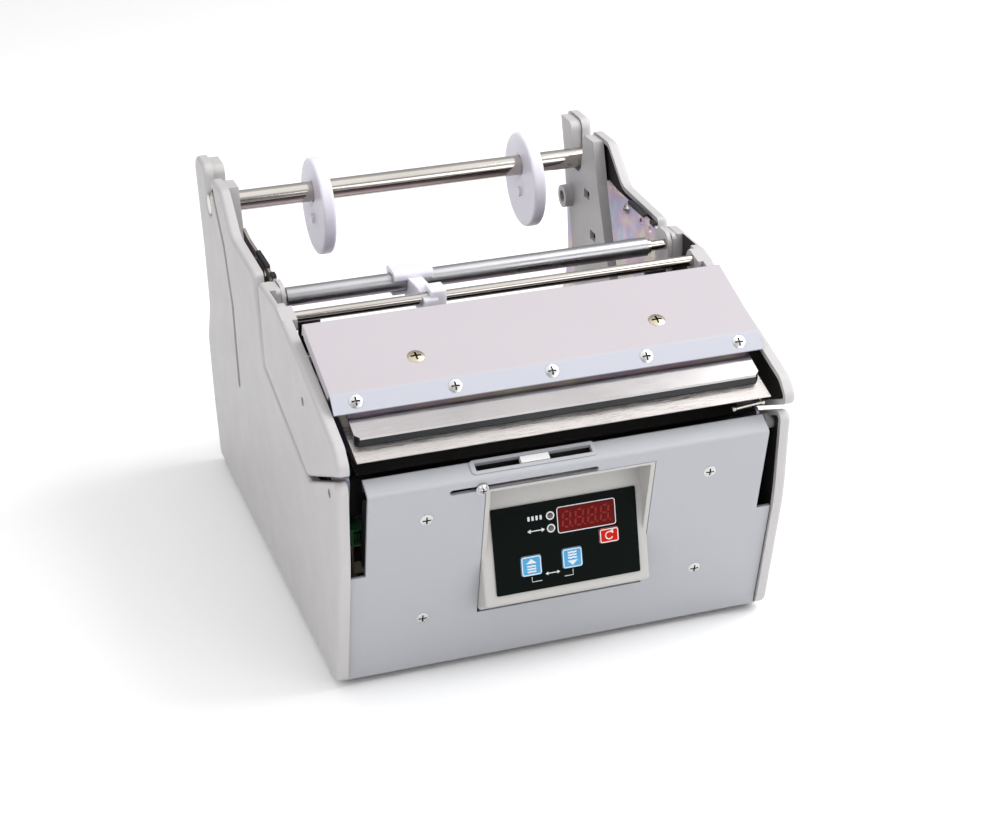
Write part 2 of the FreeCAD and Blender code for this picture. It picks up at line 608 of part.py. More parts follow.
def make_control_box():
    z_low, z_high = BOX_Z
    z_lip = z_low + BOX_RISE
    profile = [(panel_y(z_low) + 1, z_low), (face_y(z_lip), z_lip, 2.5), FACE_CROSS,
               (panel_y(z_high), z_high), (BOX_BACK, z_high), (BOX_BACK, z_low)]
    box = slab(profile, BOX_X[0], BOX_X[1])
    shadow = rounded_plate(BOX_X[1] - BOX_X[0], z_high - z_low, 80, 4, sum(BOX_X) / 2, (z_low + z_high) / 2)
    upper = Part.makeBox(BOX_X[1] - BOX_X[0], 40, 80, V(BOX_X[0], z_high - 40, 0))
    shadow = shadow.fuse(upper)
    shadow.rotate(V(0, 0, 0), V(1, 0, 0), 90)
    shadow.translate(V(0, -110, 0))
    box = box.common(shadow)
    box = fillet_where(box, 1.6, lambda p, e: p.y < face_y(p.z) + 0.05 and p.z < FACE_CROSS[1] - 1
                       and (p.x < BOX_X[0] + 0.05 or p.x > BOX_X[1] - 0.05))
    low, high = BOX_X[0] + BOX_WALL, BOX_X[1] - BOX_WALL
    recess_top = z_high - 1.6
    recess = [(FACE_CROSS[0], FACE_CROSS[1]), (face_y(recess_top), recess_top, 2.5), (-190, recess_top),
              (-190, FACE_CROSS[1])]
    box = box.cut(slab(recess, low, high))
    hollow = [(panel_y(z_low) + 1, z_low + BOX_WALL + 0.6), (face_y(z_lip) + 4.6, z_lip + BOX_WALL),
              (face_y(recess_top) + BOX_WALL, recess_top - 1),
              (BOX_BACK + 9, recess_top - 1), (BOX_BACK + 9, z_low + BOX_WALL)]
    box = box.cut(slab(hollow, low + 0.6, high - 0.6))
    wx, wy, ww, wh = WINDOW
    box = box.cut(on_face(Part.makeBox(ww, wh, 12, V(wx - ww / 2, wy - wh / 2, -8))))
    for x, y in LED_PLACES:
        box = box.cut(on_face(Part.makeCylinder(1.65, 12, V(x, y, -8))))
    for x, y, width, height in KEYS.values():
        box = box.cut(on_face(Part.makeCylinder(2.0, 12, V(x, y, -8))))
    return box.removeSplitter()


def make_overlay():
    sheet = rounded_plate(OVERLAY_SIZE[0], OVERLAY_SIZE[1], OVERLAY_T, 0.8)
    wx, wy, ww, wh = WINDOW
    sheet = sheet.cut(rounded_plate(ww + 0.1, wh + 0.1, 4, 1.2, wx, wy, -1))
    for x, y in LED_PLACES:
        sheet = sheet.cut(Part.makeCylinder(1.65, 4, V(x, y, -1)))
    for x, y, width, height in KEYS.values():
        sheet = sheet.cut(rounded_plate(width + 0.7, height + 0.7, 4, 1.6, x, y, -1))
    return on_face(sheet)


def make_key(name):
    x, y, width, height = KEYS[name]
    key = rounded_plate(width, height, 0.75, 1.4, x, y, 0.75)
    key = fillet_where(key, 0.25, lambda p, e: p.z > 1.49)
    stem = Part.makeCylinder(1.6, 5.0, V(x, y, -4.0))
    return on_face(key.fuse(stem).removeSplitter())


def make_display_window():
    wx, wy, ww, wh = WINDOW
    return on_face(rounded_plate(ww - 0.05, wh - 0.05, 1.9, 1.1, wx, wy, -1.0))


def make_status_lenses():
    lenses = []
    for x, y in LED_PLACES:
        stem = Part.makeCylinder(1.5, 5.0, V(x, y, -4.2))
        dome = Part.makeSphere(1.5, V(x, y, 0.3)).common(Part.makeBox(4, 4, 3, V(x - 2, y - 2, 0)))
        lenses.append(on_face(stem.fuse(dome).removeSplitter()))
    return Part.makeCompound(lenses)


def make_control_board():
    board = Part.makeBox(80, 46, 1.6, V(-40, -24, -8.6))
    chips = [Part.makeBox(18, 10, 2.4, V(-34, 6, -11.0)), Part.makeBox(9, 12, 1.8, V(-6, -18, -10.4)),
             Part.makeCylinder(4, 6.5, V(28, -14, -15.1)), Part.makeCylinder(3, 5.5, V(18, -16, -14.1))]
    wx, wy, ww, wh = WINDOW
    module = Part.makeBox(ww - 2.4, wh - 0.4, 5.6, V(wx - ww / 2 + 1.2, wy - wh / 2 + 0.2, -7.2))
    switches = [Part.makeBox(6, 6, 2.6, V(x - 3, y - 3, -7.1)) for x, y, w, h in KEYS.values()]
    return on_face(fuse_all([board, module] + chips + switches))


def make_board_connectors():
    """Plug housings with their pins on a bracket, at the left end behind the panel."""
    housings = []
    for y, z in ((-128.5, 88.0), (-128.5, 62.0)):
        housing = block(-112.5, -104.5, y - 6, y + 6, z - 5, z + 5)
        housing = housing.cut(block(-111.9, -105.1, y - 7, y - 1, z - 4.2, z + 4.2))
        pins = [block(-111.0 + 2.1 * i, -110.3 + 2.1 * i, y - 5, y, z - 2, z + 2) for i in range(3)]
        housings.append(housing.fuse(pins).removeSplitter())
    sheet = [(-134.5, 50), (-104, 50), (-104, 80), (-121, 88), (-121, 94), (-134.5, 94)]
    plate = slab(sheet, -113.5, -112.5)
    bracket = fuse_all([plate, block(-FRAME_IN, -112.5, -124, -104, 48.5, 50)])
    return Part.makeCompound(housings + [bracket])


# ---- head ----------------------------------------------------------------------------
LIP_SCREWS_X = [0.0, -53.8, 53.8, -107.8, 107.8]
COVER_SCREWS = [(-68.5, -116.1), (68.5, -116.1)]      # x, y


def along(start, end, distance, normal_out):
    """A (y, z) point some way from start towards end, pushed out to the left."""
    run = V(0, end[0] - start[0], end[1] - start[1])
    unit = V(run).normalize()
    side = V(0, -unit.z, unit.y)
    point = V(0, start[0], start[1]) + unit * distance + side * normal_out
    return point.y, point.z


def make_cover():
    t = SHEET
    low = LIP_LOW
    outer = [low, (COVER_FOLD[0], COVER_FOLD[1], 2.0), (COVER_REAR[0], COVER_REAR[1], 2.0)]
    drop = 8.0
    rear_low = (COVER_REAR[0] + 2.5, COVER_REAR[1] - drop)
    inner = [(rear_low[0] - t, rear_low[1]), (COVER_REAR[0] - t - 0.4, COVER_REAR[1] - t - 0.9, 0.8),
             along(COVER_FOLD, COVER_REAR, 0.6, -t) + (0.8,), along(low, COVER_FOLD, 0.0, -t)]
    top = slab(outer + [rear_low] + inner, -COVER_HALF, COVER_HALF)
    side = [along(COVER_FOLD, COVER_REAR, 2.0, -0.4), along(COVER_FOLD, COVER_REAR, 56.0, -0.4),
            along(COVER_FOLD, COVER_REAR, 56.0, -7.5) + (3,), along(COVER_FOLD, COVER_REAR, 4.0, -6.5) + (2,)]
    flanges = [slab(side, COVER_HALF - t, COVER_HALF), slab(side, -COVER_HALF, -COVER_HALF + t)]
    cover = top.fuse(flanges).removeSplitter()
    for x, y in COVER_SCREWS:
        cover = cover.cut(tilted(countersink(4.7, 2.5, 6), COVER_ANGLE, x, y, cover_z(y)))
    for x in LIP_SCREWS_X:
        cover = cover.cut(tilted(countersink(3.8, 2.0, 6), LIP_ANGLE, x, *LIP_MID))
    return cover


LIP_MID = along(LIP_LOW, COVER_FOLD, 5.9, 0)


def make_lip_bar():
    """Aluminium strip inside the lip that takes the five lip screws."""
    corners = [(1.9, -0.3), (8.6, -0.3), (8.6, -3.4), (1.9, -3.4)]
    profile = [along(LIP_LOW, COVER_FOLD, distance, depth - SHEET) for distance, depth in corners]
    bar = slab(profile, -112.6, 112.6)
    for x in LIP_SCREWS_X:
        bar = bar.cut(tilted(Part.makeCylinder(2.0, 12, V(0, 0, -10)), LIP_ANGLE, x, *LIP_MID))
    return bar


def make_cover_bracket():
    """Sheet channel under the cover, between the head's side plates."""
    t = SHEET
    front, rear = (-124.0, cover_z(-124.0)), (-86.0, cover_z(-86.0))
    upper, lower = -t - 0.25, -2 * t - 0.25
    profile = [along(front, rear, 0, upper), along(front, rear, 40.0, upper), (-84.5, 176.0),
               (-86.0, 176.0), along(front, rear, 38.2, lower), along(front, rear, 1.5, lower),
               (-124.0, press_z(-124.0) + 0.1), (-125.5, press_z(-125.5) + 0.1)]
    bracket = slab(profile, -113.2, 113.2)
    for x, y in COVER_SCREWS:
        bracket = bracket.cut(tilted(countersink(4.7, 2.5, 14), COVER_ANGLE, x, y, cover_z(y)))
    return bracket


def make_press_plate():
    """Polished plate over the label, its front corners cut off."""
    t = 1.3
    rear = -112.0
    y, z = PRESS_FRONT
    profile = [(y, z), (rear, press_z(rear)), (rear, press_z(rear) - t), (y, z - t)]
    plate = slab(profile, -113.2, 113.2)
    return plate.cut(chamfer_cutters(PRESS_FRONT[0]))


def chamfer_cutters(front_y):
    """Two wedges that take the front corners off the press plate and bar at 45 degrees."""
    cutters = []
    for side in (-1, 1):
        points = [V(side * PRESS_HALF, front_y - 1, 130), V(side * 130, front_y - 1, 130),
                  V(side * 130, front_y + 19.2, 130), V(side * PRESS_HALF, front_y, 130)]
        cutters.append(Part.Face(Part.makePolygon(points + points[:1])).extrude(V(0, 0, 60)))
    return cutters


def make_press_bar():
    """Dark acrylic bar under the press plate: its glossy front face shows."""
    front, back = PRESS_FRONT[0] + 0.5, PRESS_FRONT[0] + 12
    profile = [(front, press_z(front) - 1.35), (front + 0.7, peel_z(front + 0.7) + 0.25),
               (back, peel_z(back) + 0.25), (back, press_z(back) - 1.35)]
    return slab(profile, -113.2, 113.2).cut(chamfer_cutters(front))


def make_peel_plate():
    t = 1.6
    rear = -120.5
    y, z = PEEL_FRONT
    profile = [(y, z), (rear, peel_z(rear)), (rear, peel_z(rear) - t), (y + 3.5, peel_z(y + 3.5) - t),
               (y + 0.3, z - 0.5)]
    return slab(profile, -PEEL_HALF, PEEL_HALF)


def make_head_side_plate():
    """Steel side of the head, between the peel plate and the cover."""
    corners = [(-161.5, 145.5, 0.8), (-120.0, 141.5, 8), (-86.0, 150.0, 6), (-84.2, 180.5, 2),
               (-92.0, 182.5, 2), (-112.5, 169.0, 2), (-119.5, peel_z(-119.5) - 2.2),
               (-160.5, peel_z(-160.5) - 1.8)]
    return slab(corners, HEAD_PLATE_IN, HEAD_PLATE_IN + HEAD_PLATE_T)


# ---- roll shaft, discs and guides ----------------------------------------------------
def make_roll_shaft():
    shaft = rod(-127.0, 127.0, ROLL_AXIS, ROLL_R)
    return fillet_where(shaft, 0.8, lambda p, e: abs(abs(p.x) - 127.0) < 0.01)


def make_disc(x):
    """Nylon core disc that hangs on the shaft: hole above its centre, one side with a hub."""
    centre = (ROLL_AXIS[0], ROLL_AXIS[1] - DISC_DROP)
    rim = rod(x - DISC_T / 2, x + DISC_T / 2, centre, DISC_R)
    rim = fillet_where(rim, 1.8, lambda p, e: True)
    dish = rod(x + DISC_T / 2 - 2.2, x + DISC_T, centre, DISC_R - 5.5)
    rim = rim.cut(dish.cut(rod(x - 10, x + 10, ROLL_AXIS, 12.5)))
    lug = rod(x - DISC_T / 2 - 1.5, x, (centre[0], centre[1] - 8), 3.2)
    rim = rim.fuse(lug)
    return rim.cut(rod(x - 20, x + 20, ROLL_AXIS, ROLL_R + CLEAR)).removeSplitter()


def make_guide_tube():
    return tube(GUIDE_TUBE_X[0], GUIDE_TUBE_X[1], PIVOT_AXIS, GUIDE_TUBE_R, AXLE_R + RUN_GAP)


def make_guide_axle():
    """Fixed axle through both pivot posts, with a stop ring at the right end of the tube."""
    axle = rod(-HALF + 3.5, HALF - 3.5, PIVOT_AXIS, AXLE_R)
    return axle.fuse(rod(GUIDE_TUBE_X[1] + 0.3, GUIDE_TUBE_X[1] + 2.3, PIVOT_AXIS, 4.2)).removeSplitter()


GUIDE_X = -41.5


def make_width_guide():
    """White label-edge guide: a saddle over the tube and a block round the head's shaft."""
    y, z = PIVOT_AXIS
    sy, sz = HEAD_SHAFT_AXIS
    rear = slab([(y - 3, z), (y - 3, z - 7), (y + 8.5, z - 7, 2), (y + 8.5, z + 8.5, 3),
                 (y - 8.5, z + 8.5, 3), (y - 8.5, z + 3.5, 1)], GUIDE_X - 11.5, GUIDE_X + 11.5)
    plate = slab([(sy - 7, sz - 8, 3), (y + 2, z - 9, 2), (y + 2, z + 4, 2), (sy + 6, sz + 4, 2),
                  (sy - 7, sz + 2, 2)], GUIDE_X - 3.5, GUIDE_X + 4.5)
    front = slab([(sy - 6, sz - 6.5, 1.5), (sy + 6.5, sz - 6.5, 1.5), (sy + 6.5, sz + 6.5, 1.5),
                  (sy - 6, sz + 6.5, 1.5)], GUIDE_X + 0.5, GUIDE_X + 9.5)
    guide = fuse_all([rear, plate, front])
    guide = guide.cut(rod(GUIDE_X - 20, GUIDE_X + 20, PIVOT_AXIS, GUIDE_TUBE_R + CLEAR))
    return guide.cut(rod(GUIDE_X - 20, GUIDE_X + 20, HEAD_SHAFT_AXIS, HEAD_SHAFT_R + CLEAR)).removeSplitter()


# ---- drive ---------------------------------------------------------------------------
def make_pulley(axis, floor_r, bore):
    """Flanged belt pulley about the belt's middle plane."""
    body = rod(BELT_X - 4.2, BELT_X + 4.2, axis, floor_r)
    rim = floor_r + BELT_T + 0.9
    flanges = [rod(x - 0.5, x + 0.5, axis, rim) for x in (BELT_X - 3.7, BELT_X + 3.7)]
    return fuse_all([body] + flanges).cut(rod(BELT_X - 9, BELT_X + 9, axis, bore))


def belt_outline(grow):
    """Solid loop round both pulleys, grown outwards, across the belt's width."""
    big, small = DRIVE_PULLEY_R + grow, MOTOR_PULLEY_R + grow
    run = V(0, MOTOR_AXIS[0] - DRIVE_AXIS[0], MOTOR_AXIS[1] - DRIVE_AXIS[1])
    spread = math.acos((big - small) / run.Length)
    base = math.atan2(run.z, run.y)
    corners = []
    for sign, centre, radius in ((1, DRIVE_AXIS, big), (1, MOTOR_AXIS, small), (-1, MOTOR_AXIS, small),
                                 (-1, DRIVE_AXIS, big)):
        angle = base + sign * spread
        corners.append((centre[0] + radius * math.cos(angle), centre[1] + radius * math.sin(angle)))
    low, high = BELT_X - BELT_W / 2, BELT_X + BELT_W / 2
    ends = [rod(low, high, DRIVE_AXIS, big), rod(low, high, MOTOR_AXIS, small)]
    return fuse_all([slab(corners, low, high)] + ends)


def make_drive_roller():
    """Steel shaft with a rubber-coated barrel."""
    barrel = fillet_where(rod(-100, 100, DRIVE_AXIS, DRIVE_R), 0.8, lambda p, e: abs(abs(p.x) - 100) < 0.01)
    return barrel.fuse(rod(-FRAME_OUT, FRAME_OUT, DRIVE_AXIS, 4.0)).removeSplitter()


def make_pinch_roller():
    return fuse_all([rod(-FRAME_OUT, FRAME_OUT, PINCH_AXIS, 3.0), rod(-98, 98, PINCH_AXIS, PINCH_R)])


def make_roller_bearings():
    """Flanged bearings in the side frames: two for the drive roller, two for the pinch roller."""
    rings = []
    for axis, outer, inner in ((DRIVE_AXIS, 7.9, 4.0), (PINCH_AXIS, 5.4, 3.0)):
        ring = tube(FRAME_IN - 1.4, FRAME_OUT, axis, outer, inner + RUN_GAP)
        lip = tube(FRAME_IN - 1.4, FRAME_IN, axis, outer + 1.4, inner + RUN_GAP)
        ring = ring.fuse(lip).removeSplitter()
        rings += [ring, mirrored(ring)]
    return Part.makeCompound(rings)


def make_motor():
    """Gear motor: a round motor on a stepped gearbox, its shaft towards the left."""
    gearbox = rod(-99.5, -76, MOTOR_AXIS, 21)
    neck = rod(-76, -73, MOTOR_AXIS, 17)
    can = rod(-73, -18, MOTOR_AXIS, 18)
    cap = rod(-18, -14, MOTOR_AXIS, 9)
    body = fuse_all([gearbox, neck, can, cap])
    return body.cut(rod(-101, -77.5, MOTOR_AXIS, 3.0 + RUN_GAP))


def make_motor_pulley():
    """Belt pulley pressed on the gearbox's output shaft."""
    pulley = make_pulley(MOTOR_AXIS, MOTOR_PULLEY_R, 2.0)
    return pulley.fuse(rod(-113.4, -78, MOTOR_AXIS, 3.0)).removeSplitter()


def make_motor_bracket():
    """Angle bracket that stands on the tray and carries the gearbox's face."""
    y, z = MOTOR_AXIS
    wall = slab([(y - 22, FOOT_HEIGHT + SHEET), (y + 22, FOOT_HEIGHT + SHEET), (y + 22, z + 14, 6),
                 (y + 11, z + 24, 6), (y - 11, z + 24, 6), (y - 22, z + 14, 6)], -101.6, -99.6)
    foot = block(-101.6, -80, y - 22, y + 22, FOOT_HEIGHT + SHEET, FOOT_HEIGHT + SHEET + 2)
    return wall.fuse(foot).cut(rod(-104, -96, MOTOR_AXIS, 6)).removeSplitter()


def make_web_guard():
    """Black sheet behind the front panel: closes the drive off below the peel plate."""
    profile = [(-131.5, 100.0), (-133.6, 122.6), (-150.6, 133.4), (-128.0, 139.0, 2), (-64.0, 139.0),
               (-64.0, 137.8), (-128.0, 137.8), (-147.6, 132.9), (-132.5, 123.2), (-130.3, 100.0)]
    return slab(profile, -112.6, 112.6)


FEELER_R = 0.95


def make_feeler():
    """Bright wire finger with a bead at its tip, that the label's edge lifts."""
    tip, bend = V(95.3, -161.8, 141.9), V(112.0, -161.8, 143.4)
    run = bend - tip
    finger = Part.makeCylinder(0.8, run.Length, tip, run)
    bead = Part.makeSphere(1.4, tip, run)
    arm = Part.makeCylinder(FEELER_R, 15.0, bend - V(0, 1.0, 0), V(0, 1, 0))
    return finger.multiFuse([bead, arm])


def make_feeler_switch():
    """Small switch on the web guard that the finger works."""
    body = block(103.0, 111.9, -148.4, -139.0, 132.0, 145.6).cut(make_web_guard()).Solids
    body = max(body, key=lambda solid: solid.CenterOfMass.z)
    return body.cut(rod_y(112.0, 143.4, -150, -140, FEELER_R + RUN_GAP))


def make_stop_buffers():
    """Two black rubber buffers under the guide tube, each on a bent steel tab."""
    buffers, tabs = [], []
    for side in (-1, 1):
        x = side * 104.5
        pad = Part.makeCylinder(6.5, 22, V(x, -25.0, 153))
        buffers.append(pad.makeFillet(3.5, [e for e in pad.Edges if e.BoundBox.ZMin > 174]))
        shelf_x = sorted((side * 97.5, side * 112.0))
        shelf = block(shelf_x[0], shelf_x[1], -32, -18, 151.4, 152.9)
        leg_x = sorted((side * 112.0, side * 110.5))
        leg = block(leg_x[0], leg_x[1], -32, -18, 119, 152.9)
        foot_x = sorted((side * 110.5, side * FRAME_IN))
        foot = block(foot_x[0], foot_x[1], -32, -18, 117.5, 119)
        tabs.append(fuse_all([shelf, leg, foot]))
    return Part.makeCompound(buffers), Part.makeCompound(tabs)


# ---- screws --------------------------------------------------------------------------
def make_panel_screws():
    return Part.makeCompound([on_panel(flat_screw(3.7, 1.9, 8), x, z) for x, z in PANEL_SCREWS])


def make_cover_screws():
    return Part.makeCompound([tilted(flat_screw(4.7, 2.45, 7), COVER_ANGLE, x, y, cover_z(y))
                              for x, y in COVER_SCREWS])


def make_lip_screws():
    return Part.makeCompound([tilted(flat_screw(3.8, 1.95, 6), LIP_ANGLE, x, *LIP_MID) for x in LIP_SCREWS_X])


def side_screw(axis, x_face, shank_end):
    """A small screw sunk in a hole of the right side, head outwards."""
    screw = pan_screw(2.4, 1.4, 1.2, x_face - shank_end)
    screw.rotate(V(0, 0, 0), V(0, 1, 0), 90)
    screw.translate(V(x_face, axis[0], axis[1]))
    return screw


def make_frame_screws():
    """Pan-head screws on the inner faces of the steel frames, below the top flanges."""
    screw = pan_screw(3.4, 2.2, 1.6, FRAME_T + 0.5)
    screw.rotate(V(0, 0, 0), V(0, 1, 0), -90)
    screw.translate(V(FRAME_IN, FRAME_SCREW[0], FRAME_SCREW[1]))
    return Part.makeCompound([screw, mirrored(screw)])


def make_rear_screws():
    screws = []
    for x in (-110, 110):
        screw = pan_screw(3.0, 1.8, 1.4, 4.0)
        screw.rotate(V(0, 0, 0), V(1, 0, 0), -90)
        screw.translate(V(x, BACK_Y + SHEET, 48))
        screws.append(screw)
    for x in (INLET[0] - 20, INLET[0] + 20):
        screw = pan_screw(2.8, 1.6, 1.5, 4.5)
        screw.rotate(V(0, 0, 0), V(1, 0, 0), -90)
        screw.translate(V(x, BACK_Y + SHEET + 2.2, INLET[1]))
        screws.append(screw)
    return Part.makeCompound(screws)


# ---- assemble ------------------------------------------------------------------------
def with_mirror(shapes):
    """The given solids and their mirror images, as one group."""
    return Part.makeCompound(shapes + [mirrored(shape) for shape in shapes])


def build():
    shell, cheek, frame = make_side_shell(), make_cheek(), make_side_frame()
    buffers, tabs = make_stop_buffers()
    shell_screw = side_screw(SHELL_SCREW, HALF - SKIN, HALF - SKIN - 4)
    cheek_screw = side_screw(CHEEK_SCREW, HALF - 3, HALF - 6.5)
    nodes = {
        "right_shell": shell, "left_shell": mirrored(shell), "side_frames": with_mirror([frame]),
        "roll_cradles": with_mirror([make_column_guard()]),
        "pivot_posts": with_mirror([make_pivot_post()]), "edge_trims": make_edge_trims(frame),
        "base_tray": make_base_tray(), "feet": make_feet(), "inner_deck": make_inner_deck(),
        "rear_panel": make_rear_panel(), "power_inlet": make_power_inlet(),
        "switch_body": make_switch_body(), "switch_rocker": make_switch_rocker(),
        "power_supply": make_power_supply(), "tie_bars": make_tie_bars(),
        "front_panel": make_front_panel(), "sensor_slider": make_sensor_slider(),
        "sensor_bracket": make_sensor_bracket(), "sensor_clamp_screw": make_clamp_screw(),
        "control_box": make_control_box(), "keypad_overlay": make_overlay(),
        "display_window": make_display_window(), "status_lenses": make_status_lenses(),
        "control_board": make_control_board(), "board_connectors": make_board_connectors(),
        "web_guard": make_web_guard(), "guide_axle": make_guide_axle(), "guide_tube": make_guide_tube(),
        "width_guide": make_width_guide(), "roll_shaft": make_roll_shaft(),
        "left_core_disc": make_disc(DISC_X[0]), "right_core_disc": make_disc(DISC_X[1]),
        "drive_roller": make_drive_roller(), "drive_pulley": make_pulley(DRIVE_AXIS, DRIVE_PULLEY_R, 4.0),
        "pinch_roller": make_pinch_roller(), "roller_bearings": make_roller_bearings(),
        "drive_belt": belt_outline(BELT_T + 0.3).cut(belt_outline(0.3)), "motor": make_motor(),
        "motor_pulley": make_motor_pulley(), "motor_bracket": make_motor_bracket(),
        "feeler_wire": make_feeler(), "feeler_switch": make_feeler_switch(),
        "stop_buffers": buffers, "buffer_brackets": tabs,
        "top_cover": make_cover(),
        "cover_brackets": Part.makeCompound([make_lip_bar(), make_cover_bracket()]),
        "press_plate": make_press_plate(), "press_bar": make_press_bar(), "peel_plate": make_peel_plate(),
        "right_cheek": cheek, "left_cheek": mirrored(cheek),
        "head_side_plates": with_mirror([make_head_side_plate()]),
        "head_shaft": rod(-HALF + 3.2, HALF - 3.2, HEAD_SHAFT_AXIS, HEAD_SHAFT_R),
        "panel_screws": make_panel_screws(), "cover_screws": make_cover_screws(),
        "head_screws": Part.makeCompound(make_lip_screws().Solids + [cheek_screw, mirrored(cheek_screw)]),
        "chassis_screws": Part.makeCompound(with_mirror([shell_screw]).Solids + make_frame_screws().Solids
                                            + make_rear_screws().Solids)}
    for name in KEYS:
        nodes[name] = make_key(name)
    return nodes


os.makedirs("parts", exist_ok=True)
whole = FreeCAD.BoundBox()
for node, node_shape in build().items():
    node_shape.exportStep("parts/" + node + ".step")
    whole.add(node_shape.BoundBox)
    kinds = (node_shape.isValid(), len(node_shape.Solids), round(node_shape.Volume))
    print(node, "valid %s, solids %d, volume %d" % kinds)
print("box", whole)
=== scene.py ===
import json
import math

import bmesh
import bpy
from mathutils import Matrix, Vector

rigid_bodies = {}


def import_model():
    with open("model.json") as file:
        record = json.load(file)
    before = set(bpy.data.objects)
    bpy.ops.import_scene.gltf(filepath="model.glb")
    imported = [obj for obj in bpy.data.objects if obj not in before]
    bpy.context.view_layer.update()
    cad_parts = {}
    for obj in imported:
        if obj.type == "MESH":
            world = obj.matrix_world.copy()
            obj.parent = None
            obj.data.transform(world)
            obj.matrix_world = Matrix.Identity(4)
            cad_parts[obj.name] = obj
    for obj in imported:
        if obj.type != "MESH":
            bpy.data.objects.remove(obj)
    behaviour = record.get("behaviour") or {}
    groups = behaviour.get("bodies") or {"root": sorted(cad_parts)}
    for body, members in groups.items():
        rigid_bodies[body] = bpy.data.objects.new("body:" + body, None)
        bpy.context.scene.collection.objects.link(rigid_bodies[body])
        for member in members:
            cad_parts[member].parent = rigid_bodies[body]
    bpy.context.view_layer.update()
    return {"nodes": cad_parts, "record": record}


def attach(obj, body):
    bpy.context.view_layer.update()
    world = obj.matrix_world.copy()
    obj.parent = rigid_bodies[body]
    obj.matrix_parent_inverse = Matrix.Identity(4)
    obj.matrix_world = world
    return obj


for thing in list(bpy.data.objects):
    bpy.data.objects.remove(thing)
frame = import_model()
nodes = frame["nodes"]
MM = 0.001


# ---- materials ---------------------------------------------------------------
def new_material(name):
    """A material with one Principled shader, and short ways to add nodes to it."""
    mat = bpy.data.materials.new(name)
    mat.use_nodes = True
    tree = mat.node_tree
    shader = tree.nodes["Principled BSDF"]
    return mat, tree, shader


def coordinates(tree, scale=(1, 1, 1)):
    """Object coordinates in metres, stretched by scale."""
    coord = tree.nodes.new("ShaderNodeTexCoord")
    mapping = tree.nodes.new("ShaderNodeMapping")
    mapping.inputs["Scale"].default_value = scale
    tree.links.new(coord.outputs["Object"], mapping.inputs["Vector"])
    return mapping.outputs["Vector"]


def noise(tree, scale, detail=3.0, stretch=(1, 1, 1), rough=0.5):
    node = tree.nodes.new("ShaderNodeTexNoise")
    node.inputs["Scale"].default_value = scale
    node.inputs["Detail"].default_value = detail
    node.inputs["Roughness"].default_value = rough
    tree.links.new(coordinates(tree, stretch), node.inputs["Vector"])
    return node.outputs["Fac"]


def ramp(tree, value, stops):
    """Colour ramp: stops are (position, colour)."""
    node = tree.nodes.new("ShaderNodeValToRGB")
    band = node.color_ramp
    while len(band.elements) < len(stops):
        band.elements.new(0.5)
    for element, (position, colour) in zip(band.elements, stops):
        element.position = position
        element.color = (*colour, 1)
    tree.links.new(value, node.inputs["Fac"])
    return node.outputs["Color"]


def spread(tree, value, low, high):
    node = tree.nodes.new("ShaderNodeMapRange")
    node.inputs["From Min"].default_value = 0.3
    node.inputs["From Max"].default_value = 0.7
    node.inputs["To Min"].default_value = low
    node.inputs["To Max"].default_value = high
    tree.links.new(value, node.inputs["Value"])
    return node.outputs["Result"]


def bump(tree, value, height):
    node = tree.nodes.new("ShaderNodeBump")
    node.inputs["Distance"].default_value = height
    tree.links.new(value, node.inputs["Height"])
    return node.outputs["Normal"]


def shade(colour, factor):
    return tuple(min(1.0, c * factor) for c in colour)


def grained(name, colour, rough, grain=900, height=0.00004, vary=0.05, specular=0.5):
    """Moulded or coated surface: fine grain, slow patches of tone, uneven gloss."""
    mat, tree, shader = new_material(name)
    patches = noise(tree, 9.0, 4.0)
    tone = ramp(tree, patches, [(0.3, shade(colour, 1 - vary)), (0.7, shade(colour, 1 + vary))])
    tree.links.new(tone, shader.inputs["Base Color"])
    fine = noise(tree, grain, 2.0)
    gloss = spread(tree, noise(tree, 60, 3.0), rough * 0.88, rough * 1.12)
    tree.links.new(gloss, shader.inputs["Roughness"])
    tree.links.new(bump(tree, fine, height), shader.inputs["Normal"])
    shader.inputs["Specular IOR Level"].default_value = specular
    return mat


def machined(name, colour, rough, along=(1, 1, 1), lines=400, height=0.000004, vary=0.06, metal=1.0):
    """Metal with fine tool marks: noise pulled out along one direction."""
    mat, tree, shader = new_material(name)
    marks = noise(tree, lines, 2.0, along)
    wide = noise(tree, 25, 3.0)
    tone = ramp(tree, wide, [(0.3, shade(colour, 1 - vary)), (0.7, shade(colour, 1 + vary))])
    tree.links.new(tone, shader.inputs["Base Color"])
    tree.links.new(spread(tree, marks, rough * 0.7, rough * 1.35), shader.inputs["Roughness"])
    tree.links.new(bump(tree, marks, height), shader.inputs["Normal"])
    shader.inputs["Metallic"].default_value = metal
    return mat


def zinc_passivated(name):
    """Zinc plate with the faint rainbow of its passivation."""
    mat, tree, shader = new_material(name)
    film = noise(tree, 22, 4.0, (1, 1, 1.6), 0.6)
    rainbow = [(0.30, (0.46, 0.52, 0.46)), (0.42, (0.54, 0.52, 0.42)), (0.50, (0.54, 0.40, 0.47)),
               (0.58, (0.43, 0.39, 0.54)), (0.70, (0.38, 0.51, 0.52))]
    colour = ramp(tree, film, rainbow)
    tree.links.new(colour, shader.inputs["Base Color"])
    tree.links.new(spread(tree, noise(tree, 120, 4.0), 0.38, 0.54), shader.inputs["Roughness"])
    tree.links.new(bump(tree, noise(tree, 1400, 2.0), 0.000006), shader.inputs["Normal"])
    shader.inputs["Metallic"].default_value = 0.9
    return mat


